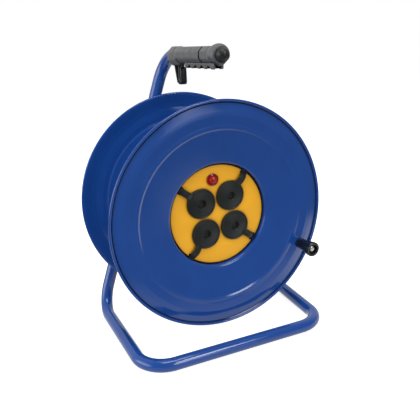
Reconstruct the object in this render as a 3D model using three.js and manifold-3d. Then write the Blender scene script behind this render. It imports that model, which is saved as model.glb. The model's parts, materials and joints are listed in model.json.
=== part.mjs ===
// An empty extension cord reel: a steel drum with a socket panel in its front flange, which turns
// on a spindle carried by a bent tube frame. Millimetres, +Z up, the crank side faces -Y.
import * as THREE from "three";
import { mergeVertices } from "three/addons/utils/BufferGeometryUtils.js";
import Module from "manifold-3d";

const wasm = await Module();
wasm.setup();

// ---- driving dimensions ----
const FIT = 0.3; // gap left between touching pieces

// frame
const TUBE_R = 9.6;
const TUBE_WALL = 1.5;
const TUBE_SIDES = 12;
const BORE_SIDES = 6;
const BEND_R = 42;
const BEND_STEPS = 5;
const AXIS_Z = 191;
const GRIP_X = -6;
const GRIP_Z = 419;
const REAR_Y = 97;
const FRONT_Y = -130;
const LEFT_X = -148.3;
const FRONT_RIGHT_X = 143;
const REAR_RIGHT_X = 162;
const TUBE_END_Y = -86;

// drum: s is the distance in front of the drum's middle plane
const RIM_R = 170;
const BEAD_R = 3;
const BEAD_S = 78.3;
const SHEET = 1.6;
const FLAT_S = 70;
const CONE_FOOT_R = 82;
const STEP_R = 127;
const STEP_S = 77.4;
const STEP_RISE = 1;
const RIDGE_INNER_R = 141;
const RIDGE_OUTER_R = 154.5;
const RIDGE_S = 80.2;
const CREASE_R = 163.4;
const CREASE_S = 78.3;
const MOUTH_R = 77.4;
const LIP_R = 4.5;
const LIP_S = 60.5;
const CORE_R = 95;
const CORE_LIP_R = 86;
const DRUM_SEGMENTS = 44;
const DRUM_TURN = THREE.MathUtils.degToRad(7);

// hub
const SPINDLE_R = 9.5;
const BUSH_BORE_R = 10;
const BUSH_R = 12.6;
const SLEEVE_R = 16;
const SLEEVE_FRONT_S = -10;
const SLEEVE_REAR_S = -73;
const HUB_PLATE_R = 38;
const NUT_ACROSS = 24;

// socket panel
const PANEL_R = 76.2;
const PANEL_S = 62.5;
const PANEL_THICK = 3;
const SKIRT_S = 52;
const SOCKET_RING_R = 33.6;
const SOCKET_R = 21;
const RECESS_R = 19.6;
const RECESS_DEPTH = 17.5;
const CONTACT_OFFSET = 9.5;
const BUS_S = 24.5;
const BUS_THICK = 1.5;
const CONTACT_R = 3.4;
const COVER_R = 22.3;
const PLUG_R = 18.3;
const STRAP_WIDTH = 9;
const HINGE_RING_R = 72.5;
const HINGE_S = 63.4;
const LAMP_RING_R = 54.3;
const LAMP_R = 9.1;
const DOME_R = 6.9;
const SCREW_RING_R = 65.5;
const HOUSING_R = 72;
const HOUSING_BACK_S = 14;
const HOUSING_WALL = 2;

// crank
const CRANK_RING_R = 148.5;
const CRANK_ANGLE = THREE.MathUtils.degToRad(-26) - DRUM_TURN;
const CRANK_BASE_S = 82.4;
const CRANK_LENGTH = 34;
const CRANK_END_R = 11.3;
const CRANK_BASE_R = 7.7;

const QUARTER = Math.PI / 2;
const SOCKET_ANGLES = [1, 3, 5, 7].map((eighth) => (eighth * Math.PI) / 4);
const SCREW_ANGLES = [0, 1, 2, 3].map((quarter) => quarter * QUARTER);

// ---- materials ----
const paint = (color, roughness, metalness) =>
  new THREE.MeshStandardMaterial({ color, roughness, metalness });
const BLUE = 0x2a4a93;
const bluePaint = () => paint(BLUE, 0.32, 0.1);
const yellowPlastic = () => paint(0xe6a726, 0.45, 0);
const rubber = () => paint(0x242927, 0.7, 0);
const blackPlastic = () => paint(0x16181a, 0.4, 0);
const gripPlastic = () => paint(0x45474c, 0.55, 0);
const zinc = () => paint(0xb9bcc0, 0.35, 0.9);
const brass = () => paint(0xc9a24f, 0.35, 0.9);
const redLens = () => paint(0xb01820, 0.15, 0);
const whiteNylon = () => paint(0xd8d6cc, 0.5, 0);

// ---- solids ----
// A closed geometry as a solid that can be joined and cut. A solid stays as it is.
function solid(geometry) {
  if (geometry instanceof wasm.Manifold) return geometry;
  const bare = new THREE.BufferGeometry();
  bare.setAttribute("position", geometry.getAttribute("position"));
  bare.setIndex(geometry.index);
  const merged = mergeVertices(bare, 1e-3);
  const vertProperties = merged.attributes.position.array;
  const triVerts = new Uint32Array(merged.index.array);
  return new wasm.Manifold(new wasm.Mesh({ numProp: 3, vertProperties, triVerts }));
}

// A solid as a geometry that a mesh can draw.
function geometryOf(body) {
  const mesh = body.getMesh();
  const points = new Float32Array(mesh.numVert * 3);
  for (let i = 0; i < mesh.numVert; i++) {
    points.set(mesh.vertProperties.subarray(i * mesh.numProp, i * mesh.numProp + 3), i * 3);
  }
  const geometry = new THREE.BufferGeometry();
  geometry.setAttribute("position", new THREE.BufferAttribute(points, 3));
  geometry.setIndex(new THREE.BufferAttribute(new Uint32Array(mesh.triVerts), 1));
  geometry.computeVertexNormals();
  return geometry;
}

const joined = (...parts) => parts.map(solid).reduce((a, b) => a.add(b));
const cut = (body, ...tools) => tools.map(solid).reduce((a, b) => a.subtract(b), body);

// A turned piece on the Y axis. The profile is [radius, s] pairs, and it starts and ends on the
// axis or is closed here.
function turned(profile, segments = 16) {
  const points = profile.map(([r, s]) => new THREE.Vector2(r, -s));
  const last = points.at(-1);
  if (points[0].x > 0 || last.x > 0) points.push(points[0].clone());
  if (THREE.ShapeUtils.area(points) < 0) points.reverse();
  return new THREE.LatheGeometry(points, segments);
}

// A turned ring of rectangular section.
const ring = (inner, outer, back, front, segments) =>
  turned([[inner, back], [outer, back], [outer, front], [inner, front]], segments);

// A turned disc, or a round bar, along the Y axis.
const disc = (radius, back, front, segments) =>
  turned([[0, back], [radius, back], [radius, front], [0, front]], segments);

// Points of an arc in an [r, s] profile, from one angle to another in degrees.
function arc(r, s, radius, from, to, steps) {
  return Array.from({ length: steps + 1 }, (_, i) => {
    const angle = THREE.MathUtils.degToRad(from + ((to - from) * i) / steps);
    return [r + radius * Math.cos(angle), s + radius * Math.sin(angle)];
  });
}

// A flat shape, drawn in X and Z, made solid from s = back to s = front.
function plate(shape, back, front, curveSegments = 8) {
  const options = { depth: front - back, bevelEnabled: false, curveSegments };
  return new THREE.ExtrudeGeometry(shape, options).translate(0, 0, back).rotateX(QUARTER);
}

// A side view, drawn in X and s, made solid across Z and centred on it.
function slab(shape, width, curveSegments = 8) {
  const options = { depth: width, bevelEnabled: false, curveSegments };
  return new THREE.ExtrudeGeometry(shape, options).translate(0, 0, -width / 2).rotateX(Math.PI);
}

// A box from its sizes and its centre.
const block = (dx, dy, dz, x, y, z) => new THREE.BoxGeometry(dx, dy, dz).translate(x, y, z);

function regular(radius, sides, turn = 0) {
  const corner = (i) => turn + (2 * Math.PI * i) / sides;
  const corners = Array.from({ length: sides }, (_, i) =>
    new THREE.Vector2(radius * Math.cos(corner(i)), radius * Math.sin(corner(i))));
  return new THREE.Shape(corners);
}

function roundedRectangle(width, height, radius) {
  const x = width / 2;
  const y = height / 2;
  const shape = new THREE.Shape();
  shape.absarc(x - radius, y - radius, radius, 0, QUARTER);
  shape.absarc(radius - x, y - radius, radius, QUARTER, 2 * QUARTER);
  shape.absarc(radius - x, radius - y, radius, 2 * QUARTER, 3 * QUARTER);
  shape.absarc(x - radius, radius - y, radius, 3 * QUARTER, 4 * QUARTER);
  return shape;
}

const polar = (radius, angle, s) =>
  new THREE.Vector3(radius * Math.cos(angle), -s, radius * Math.sin(angle));

function mesh(name, body, material, position, turnY = 0) {
  const geometry = body.isBufferGeometry ? body : geometryOf(body);
  const item = new THREE.Mesh(geometry, material);
  item.name = name;
  if (position) item.position.copy(position);
  item.rotation.y = turnY;
  return item;
}

// ---- bent tube ----
// A path of straight runs and round bends. Its stations are only where the tube needs a section:
// both ends of each run, and steps round each bend.
class BentPath extends THREE.Curve {
  constructor(corners, bendRadius, bendSteps, levelStation) {
    super();
    this.points = [];
    this.tangents = [];
    this.levelStation = levelStation;
    corners.forEach((corner, i) => {
      if (i === 0) this.addStation(corner, corners[1].clone().sub(corner).normalize());
      else if (i === corners.length - 1)
        this.addStation(corner, corner.clone().sub(corners[i - 1]).normalize());
      else this.addBend(corners[i - 1], corner, corners[i + 1], bendRadius, bendSteps);
    });
  }

  addStation(point, tangent) {
    this.points.push(point.clone());
    this.tangents.push(tangent.clone());
  }

  addBend(before, corner, after, radius, steps) {
    const incoming = corner.clone().sub(before).normalize();
    const outgoing = after.clone().sub(corner).normalize();
    const angle = incoming.angleTo(outgoing);
    const axis = incoming.clone().cross(outgoing).normalize();
    const inward = axis.clone().cross(incoming);
    const start = corner.clone().addScaledVector(incoming, -radius * Math.tan(angle / 2));
    const centre = start.clone().addScaledVector(inward, radius);
    for (let i = 0; i <= steps; i++) {
      const turn = (angle * i) / steps;
      const arm = inward.clone().multiplyScalar(-radius).applyAxisAngle(axis, turn);
      this.addStation(centre.clone().add(arm), incoming.clone().applyAxisAngle(axis, turn));
    }
  }

  getPointAt(u) {
    return this.points[Math.round(u * (this.points.length - 1))].clone();
  }

  // Sections keep their turn along the path, and one flat faces down on the level run.
  computeFrenetFrames() {
    const up = new THREE.Vector3(0, 0, 1);
    const normals = [];
    normals[this.levelStation] = up.clone().cross(this.tangents[this.levelStation]).normalize();
    const carry = (from, to) => {
      const turn = new THREE.Quaternion();
      turn.setFromUnitVectors(this.tangents[from], this.tangents[to]);
      normals[to] = normals[from].clone().applyQuaternion(turn);
    };
    for (let i = this.levelStation; i < this.points.length - 1; i++) carry(i, i + 1);
    for (let i = this.levelStation; i > 0; i--) carry(i, i - 1);
    const binormals = normals.map((normal, i) => this.tangents[i].clone().cross(normal));
    return { tangents: this.tangents, normals, binormals };
  }

  // A solid bar along the path, whose flats lie at the given distance from its middle.
  bar(flatDistance, sides) {
    const section = regular(flatDistance / Math.cos(Math.PI / sides), sides, Math.PI / sides);
    const steps = this.points.length - 1;
    return new THREE.ExtrudeGeometry(section, { steps, bevelEnabled: false, extrudePath: this });
  }
}

const at = (x, y, z) => new THREE.Vector3(x, y, z);
const FLOOR_Z = TUBE_R;
const gripEnd = at(GRIP_X, TUBE_END_Y, GRIP_Z);
const topCorner = at(GRIP_X, REAR_Y, GRIP_Z);
const rearLeft = at(LEFT_X, REAR_Y, FLOOR_Z);
const frontLeft = at(LEFT_X, FRONT_Y, FLOOR_Z);
const frontRight = at(FRONT_RIGHT_X, FRONT_Y, FLOOR_Z);
const rearRight = at(REAR_RIGHT_X, REAR_Y, FLOOR_Z);
const rightSeam = frontRight.clone().lerp(rearRight, 0.5);

// The leg runs from the rear right corner through the drum's axis, and ends in the upright.
const legSlope = -REAR_RIGHT_X / (AXIS_Z - FLOOR_Z);
const uprightSlope = (GRIP_X - LEFT_X) / (GRIP_Z - FLOOR_Z);
const legRise = (REAR_RIGHT_X - LEFT_X) / (uprightSlope - legSlope);
const legAt = (rise) => at(REAR_RIGHT_X + legSlope * rise, REAR_Y, FLOOR_Z + rise);
const legEnd = legAt(legRise);
const legBoreEnd = legAt(legRise - TUBE_R * 1.2);

const stationsPerBend = BEND_STEPS + 1;
const frontBarStation = 3 * stationsPerBend;
const mainCorners = [gripEnd, topCorner, rearLeft, frontLeft, frontRight, rightSeam];
const mainPath = new BentPath(mainCorners, BEND_R, BEND_STEPS, frontBarStation);
const legPath = (end) => new BentPath([rightSeam, rearRight, end], BEND_R, BEND_STEPS, 0);

function frameTube() {
  const outside = joined(mainPath.bar(TUBE_R, TUBE_SIDES), legPath(legEnd).bar(TUBE_R, TUBE_SIDES));
  const boreR = TUBE_R - TUBE_WALL;
  const spindleHole = disc(SPINDLE_R + FIT, -REAR_Y - 20, -REAR_Y + 20, 24).translate(0, 0, AXIS_Z);
  const mainBore = mainPath.bar(boreR, BORE_SIDES);
  const legBore = legPath(legBoreEnd).bar(boreR, BORE_SIDES);
  return mesh("frame_tube", cut(outside, mainBore, legBore, spindleHole), bluePaint());
}

// ---- grip ----
// Grip pieces are drawn about the Y axis, then moved onto the tube's level run.
const BODY_WIDTH = 23.6;
const BODY_HEIGHT = 22.8;
const BODY_REAR_S = -44;
const SEAM_S = 58;
const BODY_FRONT_S = 88;
const BODY_BOTTOM = -BODY_HEIGHT / 2;
const COLLAR_DROP = -1.9;
const BALL_R = 9.6;
const BALL_S = 107.4;
const BULGE_SLANT = 11;
const RAIL_BOTTOM = BODY_BOTTOM - 6.9;
const HOOK_REAR_S = -38.4;
const HOOK_FRONT_S = -23.5;
const HOOK_WIDTH = 9.2;

const onGrip = (geometry) => geometry.translate(GRIP_X, 0, GRIP_Z);
const tubeClearance = () => mainPath.bar(TUBE_R + FIT, TUBE_SIDES);

const gripBody = (back, front, margin = 0) =>
  onGrip(plate(roundedRectangle(BODY_WIDTH + margin, BODY_HEIGHT + margin, 9), back, front, 5));

// An eight-sided collar over the bend, with flats on top and below.
const rearCollar = (margin = 0) => {
  const profile = [[13.8, -55], [15.4, -51.5], [15.4, -38], [12.8, -26]];
  const grown = profile.map(([r, s]) => [r + margin, s]);
  const collar = turned([[0, -55], ...grown, [0, -26]], 8).rotateY(Math.PI / 8);
  return onGrip(collar.translate(0, 0, COLLAR_DROP));
};

// The bulge at the front end. Both its lower sides are cut off at a slant.
const endBulge = (margin = 0) => {
  const rise = [[11.8, 82], [12.6, 88], [14, 93], [14.6, 97.3]];
  const profile = [...rise, [14.1, 101.2], [12.4, 104.2], [10.6, 105.2]];
  const grown = profile.map(([r, s]) => [r + margin, s]);
  const bulge = solid(onGrip(turned([[0, 82], ...grown, [0, 105.2]], 32)));
  const slants = [-1, 1].map((side) => {
    const slant = block(30, 24, 12, 0, -101, -BULGE_SLANT - margin - 6);
    return onGrip(slant.rotateY(side * QUARTER / 2));
  });
  return cut(bulge, ...slants);
};

const ballOutline = (radius, from) => [
  ...arc(0, BALL_S, radius, from, 80, 8),
  [0, BALL_S + radius],
];

function gripRear() {
  const body = gripBody(BODY_REAR_S, SEAM_S - FIT);
  return mesh("grip_rear", cut(joined(body, rearCollar()), tubeClearance()), gripPlastic());
}

function gripFront() {
  const body = gripBody(SEAM_S + FIT, BODY_FRONT_S);
  const seatRadius = BALL_R + FIT;
  const seat = turned([[0, BALL_S - seatRadius], ...ballOutline(seatRadius, -80)], 20);
  const plugHole = disc(8, -TUBE_END_Y - 1, BALL_S, 16);
  const shell = joined(body, endBulge());
  const hollow = cut(shell, tubeClearance(), onGrip(seat), onGrip(plugHole));
  return mesh("grip_front", hollow, gripPlastic());
}

// A ball with a plug behind it that fills the tube's open end.
function gripCap() {
  const plug = [[0, 70], [5.4, 70], [6.6, 72]];
  const cap = turned([...plug, ...ballOutline(BALL_R, -44)], 20);
  return mesh("grip_cap", onGrip(cap), blackPlastic());
}

// A side view, drawn in s and Z, made solid across X.
function sidePlate(points, width) {
  const shape = new THREE.Shape(points.map(([s, z]) => new THREE.Vector2(s, z)));
  const options = { depth: width, bevelEnabled: false };
  const flat = new THREE.ExtrudeGeometry(shape, options).translate(0, 0, -width / 2);
  return onGrip(flat.rotateX(QUARTER).rotateZ(-QUARTER));
}

// The rail under the grip has four finger notches, and a guard at its front end.
function fingerRail() {
  const top = BODY_BOTTOM - FIT;
  const notches = [6.2, 27.4, 48.6, 69.8].flatMap((start) => [
    [start, RAIL_BOTTOM],
    [start + 8.4, RAIL_BOTTOM + 3.4],
    [start + 17.2, RAIL_BOTTOM],
  ]);
  const guard = [[90, RAIL_BOTTOM - 0.2], [93.4, RAIL_BOTTOM - 0.2], [95, RAIL_BOTTOM + 1.4]];
  const rear = [[-1, top], [-1, RAIL_BOTTOM + 1.6], [0.6, RAIL_BOTTOM]];
  const outline = [...rear, ...notches, ...guard, [95, top]];
  return mesh("finger_rail", cut(solid(sidePlate(outline, 15)), endBulge(FIT + 0.1)), gripPlastic());
}

// A hook for the free end of a cord: a narrow slot between two legs, and a gusset behind them.
function cableHook() {
  const top = BODY_BOTTOM + 6;
  const tip = BODY_BOTTOM - 32;
  const legs = new THREE.Shape();
  legs.moveTo(HOOK_REAR_S, top);
  legs.lineTo(HOOK_REAR_S, tip + 3);
  legs.lineTo(HOOK_REAR_S + 3, tip);
  legs.lineTo(HOOK_FRONT_S - 3, tip);
  legs.lineTo(HOOK_FRONT_S, tip + 3);
  legs.lineTo(HOOK_FRONT_S, BODY_BOTTOM - 9);
  legs.lineTo(HOOK_FRONT_S - 2.5, BODY_BOTTOM - 6.5);
  legs.lineTo(HOOK_FRONT_S - 6, BODY_BOTTOM - 6.5);
  legs.lineTo(HOOK_FRONT_S - 6, tip + 9);
  legs.lineTo(HOOK_FRONT_S - 8.4, tip + 9);
  legs.lineTo(HOOK_FRONT_S - 8.4, top);
  const gusset = new THREE.Shape();
  gusset.moveTo(-9, top);
  gusset.lineTo(-HOOK_WIDTH / 2, tip + 2);
  gusset.lineTo(HOOK_WIDTH / 2, tip + 2);
  gusset.lineTo(9, top);
  const hook = joined(
    sidePlate(legs.getPoints(), HOOK_WIDTH),
    onGrip(plate(gusset, HOOK_REAR_S - 2.6, HOOK_REAR_S + 0.4)),
  );
  const seats = [gripBody(-70, 0, 2 * FIT), rearCollar(FIT + 0.1)];
  return mesh("cable_hook", cut(hook, ...seats), blackPlastic());
}

// ---- spindle ----
function spindleParts() {
  const rearS = -REAR_Y;
  const shaft = [
    [0, rearS - 13.5],
    [13, rearS - 13.5],
    [13, rearS - TUBE_R - FIT - 0.4],
    [SPINDLE_R, rearS - TUBE_R - FIT - 0.4],
    [SPINDLE_R, rearS + TUBE_R + FIT],
    [15, rearS + TUBE_R + FIT],
    [15, rearS + TUBE_R + 3],
    [SPINDLE_R, rearS + TUBE_R + 3],
    [SPINDLE_R, -3],
    [7.8, -2],
    [7.8, 13],
    [6.8, 14],
    [0, 14],
  ];
  const nut = new THREE.Shape(regular(NUT_ACROSS / Math.sqrt(3), 6).getPoints());
  nut.holes.push(new THREE.Path(regular(8.5 + FIT, 12).getPoints()));
  const spacerRear = rearS + TUBE_R + 3 + FIT;
  return [
    mesh("spindle", turned(shaft, 20), zinc()),
    mesh("spacer_ring", ring(9.9, 15, spacerRear, SLEEVE_REAR_S - 2.6, 24), whiteNylon()),
    mesh("spindle_washer", ring(8.4, 17, -1.7, 0.3, 16), zinc()),
    mesh("spindle_nut", plate(nut, 0.6, 10.6), zinc()),
  ];
}

// ---- drum ----
// How far the flanges' cone stands from the drum's middle plane.
const coneS = (r) => FLAT_S + ((r - CONE_FOOT_R) * (STEP_S - FLAT_S)) / (STEP_R - CONE_FOOT_R);

// The pressed sheet outside the hub is alike on both flanges: a shallow cone, a low step, a broad
// ridge, a shoulder that falls back to a crease, and a rolled bead at the rim.
function flangeProfile(inner) {
  const step = [[STEP_R - 0.6, STEP_S], [STEP_R + 0.6, STEP_S + STEP_RISE]];
  const ridge = [[RIDGE_INNER_R, RIDGE_S], [RIDGE_OUTER_R, RIDGE_S]];
  const shoulder = [[CREASE_R - 2, CREASE_S + 1], [CREASE_R, CREASE_S]];
  const outside = [...step, ...ridge, ...shoulder];
  const bead = arc(RIM_R - BEAD_R, BEAD_S, BEAD_R, 200, -110, 7);
  const inside = outside.map(([r, s]) => [r, s - SHEET]).reverse();
  return [...inner.front, ...outside, ...bead, ...inside, ...inner.back];
}

function frontFlange() {
  const lip = arc(MOUTH_R + LIP_R, FLAT_S - LIP_R, LIP_R, 180, 90, 3);
  const lipBack = arc(MOUTH_R + LIP_R, FLAT_S - LIP_R, LIP_R - SHEET, 90, 180, 2);
  const inner = {
    front: [[MOUTH_R, LIP_S], ...lip],
    back: [...lipBack, [MOUTH_R + SHEET, LIP_S]],
  };
  const boltHole = disc(3.4, 60, 90, 16).translate(
    CRANK_RING_R * Math.cos(CRANK_ANGLE), 0, CRANK_RING_R * Math.sin(CRANK_ANGLE));
  const sheet = solid(turned(flangeProfile(inner), DRUM_SEGMENTS));
  return mesh("front_flange", cut(sheet, boltHole), bluePaint());
}

function rearFlange() {
  const hole = SLEEVE_R + FIT;
  const inner = {
    front: [[hole, FLAT_S], [CONE_FOOT_R, FLAT_S]],
    back: [[CONE_FOOT_R, FLAT_S - SHEET], [hole, FLAT_S - SHEET]],
  };
  const mirrored = flangeProfile(inner).map(([r, s]) => [r, -s]);
  return mesh("rear_flange", turned(mirrored, DRUM_SEGMENTS), bluePaint());
}

const GLAND_ANGLE = THREE.MathUtils.degToRad(200);
const GLAND_S = -30;
const alongRadius = (geometry) => geometry.rotateZ(-QUARTER).rotateY(-GLAND_ANGLE);

// The core's lips lie against the inside of the flanges' cones.
function drumCore() {
  const wall = 1.5;
  const end = (r) => coneS(r) - SHEET - FIT;
  const half = [
    [CORE_R, end(CORE_R)],
    [CORE_LIP_R, end(CORE_LIP_R)],
    [CORE_LIP_R, end(CORE_LIP_R) - wall],
    [CORE_R - wall, end(CORE_R - wall) - wall],
  ];
  const profile = [...half, ...half.map(([r, s]) => [r, -s]).reverse()];
  const glandHole = alongRadius(new THREE.CylinderGeometry(8.3, 8.3, 30, 16).translate(0, 90, 0));
  const core = cut(solid(turned(profile, 36)), glandHole.translate(0, -GLAND_S, 0));
  return mesh("drum_core", core, bluePaint());
}

// The cord's way in: a gland through the core's wall, and its lock nut inside.
function gland() {
  const shoulder = CORE_R + 0.4;
  const profile = [[5, 80], [8, 80], [8, shoulder], [11, shoulder], [11, 100], [9.5, 104], [5, 104]];
  const body = alongRadius(turned(profile, 20).rotateX(Math.PI)).translate(0, -GLAND_S, 0);
  const nut = new THREE.CylinderGeometry(11.5, 11.5, 5, 6).translate(0, 89.6, 0);
  const nutBore = new THREE.CylinderGeometry(8.3, 8.3, 12, 16).translate(0, 89.6, 0);
  const lockNut = geometryOf(cut(solid(nut), nutBore));
  return [
    mesh("cable_gland", body, blackPlastic()),
    mesh("gland_nut", alongRadius(lockNut).translate(0, -GLAND_S, 0), blackPlastic()),
  ];
}

// The sleeve and its welded plate stand on the rear flange and hold two plastic bushes.
function hub() {
  const bore = BUSH_R + FIT;
  const plateBack = -(FLAT_S - SHEET - FIT);
  const sleeve = [
    [bore, SLEEVE_REAR_S],
    [SLEEVE_R, SLEEVE_REAR_S],
    [SLEEVE_R, plateBack],
    [HUB_PLATE_R, plateBack],
    [HUB_PLATE_R, plateBack + 3],
    [SLEEVE_R + 3, plateBack + 3],
    [SLEEVE_R, plateBack + 6],
    [SLEEVE_R, SLEEVE_FRONT_S],
    [bore, SLEEVE_FRONT_S],
  ];
  const bush = (end, way) => [
    [BUSH_BORE_R, end - 2.2 * way],
    [17, end - 2.2 * way],
    [17, end - FIT * way],
    [BUSH_R, end - FIT * way],
    [BUSH_R, end + 18 * way],
    [BUSH_BORE_R, end + 18 * way],
  ];
  return [
    mesh("hub_sleeve", turned(sleeve, 24), zinc()),
    mesh("rear_bush", turned(bush(SLEEVE_REAR_S, 1), 24), whiteNylon()),
    mesh("front_bush", turned(bush(SLEEVE_FRONT_S, -1), 24), whiteNylon()),
  ];
}

// ---- socket panel ----
function socketPanel() {
  const back = PANEL_S - PANEL_THICK;
  const profile = [
    [0, back],
    [73.6, back],
    [73.6, SKIRT_S + 6.5],
    [PANEL_R, SKIRT_S + 6.5],
    [PANEL_R, PANEL_S - 0.8],
    [PANEL_R - 0.8, PANEL_S],
    [0, PANEL_S],
  ];
  const cuts = SOCKET_ANGLES.flatMap((angle) => [
    disc(SOCKET_R + FIT + 0.2, 50, 70, 20).translate(...polar(SOCKET_RING_R, angle, 0)),
    block(8, 20, STRAP_WIDTH + 1.4, 70 + 4.4, -60, 0).rotateY(-angle),
  ]);
  const lampHole = disc(6.3, 50, 70, 16).translate(...polar(LAMP_RING_R, QUARTER, 0));
  const bosses = SCREW_ANGLES.map((angle) =>
    ring(1.6, 4, 52, back + 0.5, 8).translate(...polar(SCREW_RING_R, angle, 0)));
  const face = cut(solid(turned(profile, 36)), ...cuts, lampHole);
  const panel = bosses.map(solid).reduce((a, b) => a.add(b), face);
  return mesh("socket_panel", panel, yellowPlastic());
}

// The insulating housing closes the live side of the panel inside the core.
function panelHousing() {
  const rimS = LIP_S - FIT;
  const profile = [
    [SLEEVE_R + 6, HOUSING_BACK_S],
    [HOUSING_R, HOUSING_BACK_S],
    [HOUSING_R, rimS - 3],
    [84, rimS - 3],
    [84, rimS],
    [77, rimS],
    [77, rimS - 2],
    [HOUSING_R - HOUSING_WALL, rimS - 3],
    [HOUSING_R - HOUSING_WALL, HOUSING_BACK_S + HOUSING_WALL],
    [SLEEVE_R + 6, HOUSING_BACK_S + HOUSING_WALL],
  ];
  const shell = solid(turned(profile, 28));
  const cordHole = disc(7, 0, 30, 16).translate(...polar(56, GLAND_ANGLE - DRUM_TURN, 0));
  const posts = SCREW_ANGLES.map((angle) =>
    disc(4, HOUSING_BACK_S + 1, 51.6, 8).translate(...polar(SCREW_RING_R, angle, 0)));
  const bores = SCREW_ANGLES.map((angle) =>
    disc(1.9, 0, 60, 8).translate(...polar(SCREW_RING_R, angle, 0)));
  const body = posts.map(solid).reduce((a, b) => a.add(b), shell);
  return mesh("panel_housing", cut(body, cordHole, ...bores), blackPlastic());
}

const COUPLE = [-CONTACT_OFFSET, CONTACT_OFFSET];

// One socket: a cup that the plug goes into, over a block with two contact holes.
function socketInsert(name, angle) {
  const floor = -RECESS_DEPTH;
  const cup = [
    [0, -34],
    [15.5, -34],
    [15.5, floor - 3],
    [SOCKET_R, floor - 3],
    [SOCKET_R, -0.4],
    [RECESS_R, -0.4],
    [RECESS_R, floor],
    [0, floor],
  ];
  const holes = COUPLE.flatMap((x) => [
    disc(2.7, -40, 5, 8).translate(x, 0, 0),
    disc(CONTACT_R + FIT + 0.3, -40, floor - 2.4, 8).translate(x, 0, 0),
  ]);
  const clipSlots = [-1, 1].map((side) => block(9, 10, 2.2, 0, -floor + 2, side * 17.4));
  const body = cut(solid(turned(cup, 20)), ...holes, ...clipSlots);
  return mesh(name, body, blackPlastic(), polar(SOCKET_RING_R, angle, PANEL_S), -angle);
}

// The earth clip is one bent strip: two springs in the cup, joined behind the block.
function earthClip(name, angle) {
  const side = new THREE.Shape();
  const outline = [
    [-18, -35.6], [18, -35.6], [18, -5], [15.6, -9], [17, -12], [17, -34.6],
    [-17, -34.6], [-17, -12], [-15.6, -9], [-18, -5],
  ];
  side.setFromPoints(outline.map(([z, s]) => new THREE.Vector2(z, s)));
  const strip = slab(side, 7.4).rotateY(QUARTER);
  return mesh(name, strip, brass(), polar(SOCKET_RING_R, angle, PANEL_S), -angle);
}

// A flat bus ring, with a contact tube standing on it behind each pin hole.
function bus(name, radius, width, contactRing) {
  const flat = ring(radius - width / 2, radius + width / 2, BUS_S, BUS_S + BUS_THICK, 24);
  if (!contactRing) return mesh(name, flat, brass());
  const contactTop = PANEL_S - RECESS_DEPTH - 3.2;
  const tubes = SOCKET_ANGLES.map((angle) =>
    ring(2.5, CONTACT_R, BUS_S + 0.5, contactTop, 6).translate(...polar(contactRing, angle, 0)));
  return mesh(name, tubes.map(solid).reduce((a, b) => a.add(b), solid(flat)), brass());
}

// A rubber cover: a plug with a domed flange and an arched strap that turns at the panel's edge.
function socketCover(name, angle) {
  const reach = SOCKET_RING_R - HINGE_RING_R;
  const level = (s) => s - HINGE_S;
  const profile = [
    [0, 57.3], [PLUG_R - 0.6, 57.3], [PLUG_R, 57.9], [PLUG_R, 62.9], [COVER_R, 62.9],
    [COVER_R, 64.6], [21.4, 65.4], [20.2, 64.9], [13.5, 66.3], [6.4, 67.4], [4.6, 65.6], [0, 65.6],
  ];
  const flange = turned(profile.map(([r, s]) => [r, level(s)]), 20).translate(reach, 0, 0);
  const arch = new THREE.Shape();
  arch.moveTo(3.2, -0.7);
  arch.lineTo(3.2, 0.6);
  arch.bezierCurveTo(-2.6, 4.6, -12.5, 9.4, -19.5, 1.4);
  arch.lineTo(-19, -0.4);
  arch.bezierCurveTo(-12.2, 5.8, -5.2, 3.4, -1, -0.7);
  const body = joined(flange, slab(arch, STRAP_WIDTH, 4));
  return mesh(name, body, rubber(), polar(HINGE_RING_R, angle, HINGE_S), -angle);
}

function lamp() {
  const seat = PANEL_S + FIT;
  const neck = [[0, PANEL_S - 2.4], [5.9, PANEL_S - 2.4], [5.9, seat]];
  const collar = [[LAMP_R, seat], [LAMP_R, seat + 1.2], [LAMP_R - 1, seat + 2]];
  const dome = arc(0, seat + 0.2, DOME_R, 17, 75, 4);
  const bodyFront = PANEL_S - 2.8;
  const body = [[0, 38], [4, 38], [4, 46], [5.8, 46], [5.8, bodyFront], [0, bodyFront]];
  const place = polar(LAMP_RING_R, QUARTER, 0);
  const top = [0, seat + 0.2 + DOME_R];
  return [
    mesh("lamp_lens", turned([...neck, ...collar, ...dome, top], 20), redLens(), place),
    mesh("lamp_body", turned(body, 16), whiteNylon(), place),
  ];
}

function terminalBlock() {
  const body = block(30, 11, 12, 0, 0, 0);
  const wells = [-9, 0, 9].map((x) => disc(2.6, -4, 8, 10).translate(x, 0, 0));
  const place = polar(54, Math.PI, HOUSING_BACK_S + HOUSING_WALL + 6);
  return mesh("terminal_block", cut(solid(body), ...wells), whiteNylon(), place, QUARTER);
}

// The screws go in from behind, through the housing's posts into the panel's bosses.
function panelScrew(name, angle) {
  const head = HOUSING_BACK_S - FIT;
  const profile = [[0, head - 2.4], [3.4, head - 2.4], [3.4, head], [1.4, head], [1.4, 56], [0, 57]];
  return mesh(name, turned(profile, 10), zinc(), polar(SCREW_RING_R, angle, 0));
}

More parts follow.
